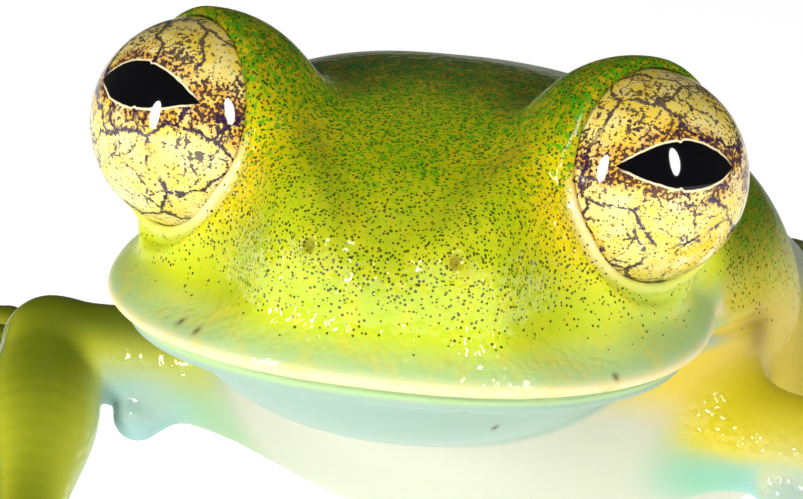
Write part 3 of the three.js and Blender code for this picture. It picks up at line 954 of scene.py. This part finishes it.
def globe(side):
    """An eye's globe with the cornea's low dome over the pupil."""
    local, faces = globe_mesh(150, 300)
    if side < 0:
        faces = [face[::-1] for face in faces]
    centre = HEAD_AT + HEAD @ np.array([0, side * EYE_SPREAD, 0])
    from_middle = np.arccos(np.clip(local[:, 2], -1, 1))
    bulge = 1 + CORNEA_RISE * near(from_middle, CORNEA_WIDTH)
    world = centre + EYE_RADIUS * (local * bulge[:, None]) @ np.array(eye_axes(side))
    name = "eye_globe_left" if side > 0 else "eye_globe_right"
    mesh = bpy.data.meshes.new(name)
    mesh.from_pydata([tuple(v) for v in world * MM], [], faces)
    mesh.update()
    mesh.polygons.foreach_set("use_smooth", np.ones(len(faces), dtype=bool))
    made = bpy.data.objects.new(name, mesh)
    bpy.context.scene.collection.objects.link(made)
    layer = mesh.attributes.new("gaze", "FLOAT_VECTOR", "POINT")
    layer.data.foreach_set("vector", local.astype(np.float32).ravel())
    return made


def pupil_edge(n, aside, across, place):
    """Distance from the pupil's edge: a lens, fuller outwards, with a small step in its middle."""
    half, rise = PUPIL_HALF / EYE_RADIUS, PUPIL_RISE / EYE_RADIUS
    outer = n.step(aside, -0.02, 0.02)
    share = n.math("ABSOLUTE", n.math("DIVIDE", aside, half))
    fall = n.math("POWER", share, n.math("MULTIPLY_ADD", outer, 0.6, 1.75))
    height = n.math("MULTIPLY_ADD", outer, 0.06 * rise, 0.96 * rise)
    lens = n.math("MULTIPLY", n.math("SUBTRACT", 1.0, fall), height)
    notch = n.step(n.math("ABSOLUTE", aside), 0.035, 0.0)
    lens = n.math("MULTIPLY_ADD", notch, -0.016, lens)
    wobble = n.math("SUBTRACT", n.noise(place, 2.5, 2.0), 0.5)
    lens = n.math("MULTIPLY_ADD", wobble, 0.05, lens)
    return n.math("SUBTRACT", n.math("ABSOLUTE", across), lens), share


# Veins: cells to a millimetre, half the line's width, strength, and where they break off
VEINS = [(0.85, 0.042, 0.95, 0.4), (1.7, 0.02, 0.88, 0.5)]
YELLOW_GROUND, CREAM_GROUND = linear(242, 208, 66), linear(246, 228, 140)
WHITE_INK = linear(250, 240, 196)
ORANGE_INK = linear(214, 146, 42)
SPECKLE_INK = linear(50, 24, 42)
EYE_DOT_INK = linear(60, 30, 52)
VEIN_INK = linear(46, 22, 62)
SHADE_INK = linear(128, 112, 20)
EDGE_INK = linear(255, 236, 190)
PUPIL_INK = (0.001, 0.001, 0.002)


def veins(n, place, colour):
    """Branching dark lines with ragged edges, broken off here and there."""
    bend = n.add("ShaderNodeTexNoise")
    n.link(place, bend.inputs["Vector"])
    bend.inputs["Scale"].default_value = 2.2 / MM
    bend.inputs["Detail"].default_value = 1.5
    shift = n.add("ShaderNodeVectorMath", operation="MULTIPLY_ADD")
    n.link(bend.outputs["Color"], shift.inputs[0])
    shift.inputs[1].default_value = (0.45 * MM,) * 3
    n.link(place, shift.inputs[2])
    ragged = n.math("MULTIPLY", n.noise(place, 15.0, 2.0, 0.6), 0.14)
    for per_mm, width, strength, low in VEINS:
        lines = n.voronoi(shift.outputs[0], per_mm, "DISTANCE_TO_EDGE").outputs["Distance"]
        lines = n.math("MULTIPLY_ADD", ragged, per_mm, lines)
        here = n.step(n.noise(place, per_mm * 0.9, 2.0), low, low + 0.06)
        thick = (width + 0.07) * per_mm
        vein = n.math("MULTIPLY", n.step(lines, thick, thick - 0.02), here)
        colour = n.cover(vein, strength, colour, VEIN_INK)
    return colour


def eye_ground(n, place):
    """Cream and yellow clouds with whiter ones over them."""
    cloud = n.noise(place, 1.3, 4.0, 0.6)
    colour = n.blend(n.step(cloud, 0.38, 0.66), CREAM_GROUND, YELLOW_GROUND)
    white = n.noise(place, 2.4, 3.0, 0.6)
    return n.cover(n.step(white, 0.5, 0.7), 0.5, colour, WHITE_INK)


def pupil_stain(n, aside, across, edge, place):
    """How orange the ground is: round the pupil and towards both of its corners."""
    level = n.math("ABSOLUTE", across)
    past_corner = n.step(n.math("ABSOLUTE", aside), 0.3, 0.55)
    beside = n.math("MULTIPLY", n.step(level, 0.36, 0.08), past_corner)
    band = n.math("MAXIMUM", n.step(edge, 0.3, 0.04), beside)
    broken = n.step(n.noise(place, 2.8, 4.0, 0.7), 0.3, 0.58)
    return n.math("MULTIPLY", band, broken)


def eye_grains(n, colour, across, stain, place):
    """Dark speckles and dots, thickest near the pupil, above it and in clouds."""
    clumps = n.step(n.noise(place, 1.6, 3.0, 0.6), 0.42, 0.64)
    above = n.math("MULTIPLY_ADD", n.step(across, -0.1, 0.35), 0.72, 0.1)
    clumps = n.math("MULTIPLY", clumps, above)
    density = n.math("MAXIMUM", n.math("MULTIPLY", stain, 0.95), clumps)
    level = n.math("MULTIPLY_ADD", density, 0.27, 0.32)
    speckle = n.math("SUBTRACT", level, n.noise(place, 16.0, 1.5, 0.5))
    colour = n.cover(n.step(speckle, -0.015, 0.03), 0.9, colour, SPECKLE_INK)
    for per_mm, size in ((13.0, 0.34), (19.0, 0.32)):
        dots = dots_of(n, place, per_mm, size, n.math("MULTIPLY_ADD", density, 0.6, 0.3))
        colour = n.cover(dots, 0.85, colour, EYE_DOT_INK)
    return colour


def eye_material():
    n = Nodes("eye")
    aside, across, out = n.parts(n.attribute("gaze").outputs["Vector"])
    place = n.place()
    edge, share = pupil_edge(n, aside, across, place)
    edge = n.math("ADD", edge, n.step(out, 0.0, -0.1))
    stain = pupil_stain(n, aside, across, edge, place)
    colour = n.cover(stain, 0.85, eye_ground(n, place), ORANGE_INK)
    colour = veins(n, place, eye_grains(n, colour, across, stain, place))
    # Darker above the pupil, where the lid shades it
    colour = n.cover(n.step(across, 0.2, 0.7), 0.3, colour, SHADE_INK)
    # The pupil and the cream line round it
    line = n.math("MULTIPLY", n.step(edge, 0.032, 0.018), n.step(share, 1.02, 0.8))
    colour = n.cover(line, 0.9, colour, EDGE_INK)
    colour = n.blend(n.step(edge, 0.010, 0.0), colour, PUPIL_INK)
    n.link(colour, n.shader.inputs["Base Color"])
    n.set(
        Roughness=0.6, Specular_IOR_Level=0.0,
        Coat_Weight=1.0, Coat_Roughness=0.05, Coat_IOR=1.55,
    )
    return n.material


# Floor, light and camera

FLOOR_HALF = 4.0
FLOOR_DROP = 0.00001


def floor():
    """A square in metres, just under the frog's feet."""
    mesh = bpy.data.meshes.new("floor")
    corners = [
        (across * FLOOR_HALF, along * FLOOR_HALF, -FLOOR_DROP)
        for across, along in ((-1, -1), (1, -1), (1, 1), (-1, 1))
    ]
    mesh.from_pydata(corners, [], [(0, 1, 2, 3)])
    made = bpy.data.objects.new("floor", mesh)
    bpy.context.scene.collection.objects.link(made)
    n = Nodes("floor")
    n.set(
        Roughness=0.9, Base_Color=(0.9, 0.9, 0.9, 1.0), Specular_IOR_Level=0.0,
        Emission_Color=(1.0, 1.0, 1.0, 1.0), Emission_Strength=0.84,
    )
    mesh.materials.append(n.material)


# The camera's place: angles round the head, mm away, and pixels of the photo's frame
CAMERA_TURN = math.radians(16.2)
CAMERA_RISE = math.radians(12.5)
CAMERA_ROLL = math.radians(5.3)
CAMERA_AWAY = 90.0
PIXELS_PER_MM = 64.5
FRAME_WIDE, FRAME_HIGH = 803, 499
EYES_AT = (418.1, 148.8)
SENSOR_MM = 36.0
NEAREST_MM = 5.0


def view_axes():
    """The picture's right, up and towards the camera, in the row frame."""
    back = np.array([
        math.sin(CAMERA_TURN) * math.cos(CAMERA_RISE),
        -math.cos(CAMERA_TURN) * math.cos(CAMERA_RISE),
        math.sin(CAMERA_RISE),
    ])
    right = np.array([math.cos(CAMERA_TURN), math.sin(CAMERA_TURN), 0])
    up = np.cross(back, right)
    c, s = math.cos(CAMERA_ROLL), math.sin(CAMERA_ROLL)
    return right * c + up * s, up * c - right * s, back


def camera():
    right, up, back = view_axes()
    data = bpy.data.cameras.new("camera")
    data.sensor_width = SENSOR_MM
    data.lens = SENSOR_MM * PIXELS_PER_MM * CAMERA_AWAY / FRAME_WIDE
    data.clip_start = NEAREST_MM * MM
    made = bpy.data.objects.new("camera", data)
    bpy.context.scene.collection.objects.link(made)
    aside = (EYES_AT[0] - FRAME_WIDE / 2) / PIXELS_PER_MM
    above = (FRAME_HIGH / 2 - EYES_AT[1]) / PIXELS_PER_MM
    eye = HEAD_AT + back * CAMERA_AWAY
    target = HEAD_AT - right * aside - up * above
    towards = eye - target
    towards /= np.linalg.norm(towards)
    side = np.cross(up, towards)
    side /= np.linalg.norm(side)
    top = np.cross(towards, side)
    turn = Matrix([list(row) for row in np.stack([side, top, towards], axis=1)])
    made.matrix_world = Matrix.Translation(Vector(eye * MM)) @ turn.to_4x4()
    bpy.context.scene.camera = made


def lamp(name, way, away, wide, high, watts):
    """A softbox in a direction of the camera's view, turned to the head."""
    right, up, back = view_axes()
    towards = right * way[0] + up * way[1] + back * way[2]
    towards /= np.linalg.norm(towards)
    data = bpy.data.lights.new(name, "AREA")
    data.shape = "ELLIPSE"
    data.size = wide * MM
    data.size_y = high * MM
    data.energy = watts
    made = bpy.data.objects.new(name, data)
    bpy.context.scene.collection.objects.link(made)
    made.location = Vector((HEAD_AT + towards * away) * MM)
    made.rotation_mode = "QUATERNION"
    made.rotation_quaternion = Vector(towards).to_track_quat("Z", "Y")


# Each lamp's direction from the head as the camera sees it (right, up, towards), its
# distance, width and height in mm, and its watts
LAMPS = {
    "flash_left": ((-0.68, 0.11, 0.72), 70, 13, 35, 0.035),
    "flash_right": ((0.57, 0.21, 0.79), 42, 8, 21, 0.0098),
    "top": ((0.1, 0.95, 0.3), 120, 80, 80, 0.006),
}
SKY_STRENGTH = 0.08


def lights():
    world = bpy.data.worlds.new("studio")
    bpy.context.scene.world = world
    world.use_nodes = True
    sky = world.node_tree.nodes["Background"]
    sky.inputs["Color"].default_value = (1.0, 1.0, 1.0, 1.0)
    sky.inputs["Strength"].default_value = SKY_STRENGTH
    for name, settings in LAMPS.items():
        lamp(name, *settings)
    bpy.context.scene.view_settings.view_transform = "Standard"


# Grid steps of the skin in mm, finest on the head, and how much wider they may get
FINE_STEP, QUICK_STEP = 0.055, 0.11
WIDER_ALONG, WIDER_UP = 2.2, 1.8


def skin():
    fine = FINE_STEP
    xs = steps(-17.2, 17.2, -5.2, 5.2, fine, WIDER_ALONG * fine)
    ys = steps(-24.6, 5.6, -24.6, -14.0, fine, WIDER_ALONG * fine)
    zs = steps(-0.3, 11.4, 3.8, 11.4, fine, WIDER_UP * fine)
    vertices, quads = surface(xs, ys, zs, grid_field(xs, ys, zs))
    vertices = settle(vertices)
    normals = slope_at(vertices, 0.01)[1]
    made = mesh_object("skin", vertices, quads)
    tint, marks = skin_colours(vertices, normals)
    colour_layer(made, "tint", tint)
    colour_layer(made, "marks", marks)
    made.data.materials.append(skin_material())
    return made


def build():
    flesh = [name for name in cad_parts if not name.startswith("eye")]
    cover = skin()
    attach(cover, "root")
    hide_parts(*flesh)
    iris = eye_material()
    for side, word in ((1, "left"), (-1, "right")):
        eye = globe(side)
        eye.data.materials.append(iris)
        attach(eye, "root")
        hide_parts("eye_" + word)


build()
floor()
lights()
camera()
